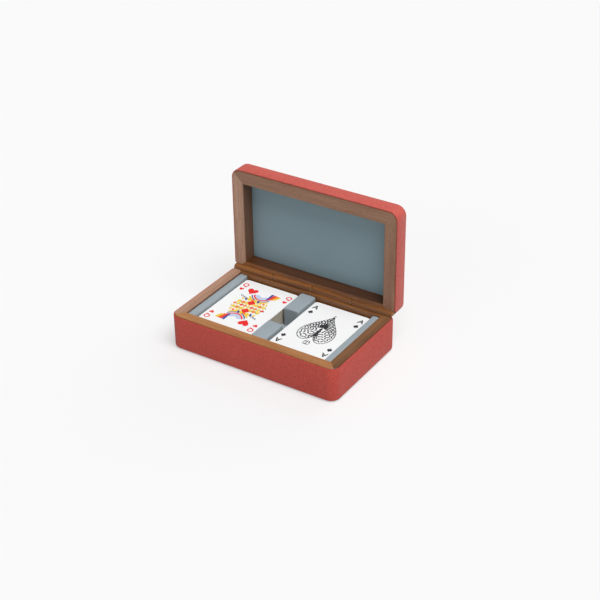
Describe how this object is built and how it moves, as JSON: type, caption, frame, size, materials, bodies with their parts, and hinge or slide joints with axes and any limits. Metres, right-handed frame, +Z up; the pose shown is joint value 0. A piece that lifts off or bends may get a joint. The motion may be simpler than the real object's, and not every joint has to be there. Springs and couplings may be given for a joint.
{
  "type": "playing card box",
  "caption": "Leather-covered wooden box on a wooden barrel hinge; its lined wells, either side of a notched divider, hold decks of playing cards.",
  "frame": {"origin": "middle of the underside of the base", "axes": "+X along the front to the right, +Y from the front to the hinge, +Z up; the lid stands open"},
  "size_m": [0.1898, 0.1314, 0.15],
  "materials": {
    "walnut": "satin oiled walnut",
    "panel_board": "plain board, covered on both faces",
    "red_leather": "finely grained, semi-matt",
    "lining": "smooth blue-grey lining",
    "brass": "satin",
    "card_stock": "coated playing cards"
  },
  "bodies": {
    "base": {"base_front_rail": "walnut", "base_back_rail": "walnut", "base_left_rail": "walnut", "base_right_rail": "walnut", "base_bottom_board": "panel_board", "base_leather_band": "red_leather", "base_bottom_pad": "lining", "floor_lining": "lining", "left_rib": "lining", "right_rib": "lining", "divider_front_block": "lining", "divider_back_block": "lining", "hinge_knuckle_1": "walnut", "hinge_knuckle_3": "walnut", "hinge_pin": "brass", "hinge_washers": "brass"},
    "lid": {"lid_front_rail": "walnut", "lid_back_rail": "walnut", "lid_left_rail": "walnut", "lid_right_rail": "walnut", "lid_top_board": "panel_board", "lid_lining": "lining", "lid_leather_cover": "red_leather", "hinge_knuckle_2": "walnut", "hinge_knuckle_4": "walnut"},
    "left_deck": {"left_deck_stack": "card_stock", "left_top_card": "card_stock"},
    "right_deck": {"right_deck_stack": "card_stock", "right_top_card": "card_stock"}
  },
  "joints": [
    {"name": "lid_hinge", "type": "hinge", "parent": "base", "child": "lid", "pos_m": [0, 0.0539, 0.03799], "axis": [-1, 0, 0], "range_deg": [-90, 0]},
    {"name": "left_deck_lift", "type": "slide", "parent": "base", "child": "left_deck", "axis": [0, 0, 1], "range_m": [0, 0.02]},
    {"name": "right_deck_lift", "type": "slide", "parent": "base", "child": "right_deck", "axis": [0, 0, 1], "range_m": [0, 0.02]}
  ]
}
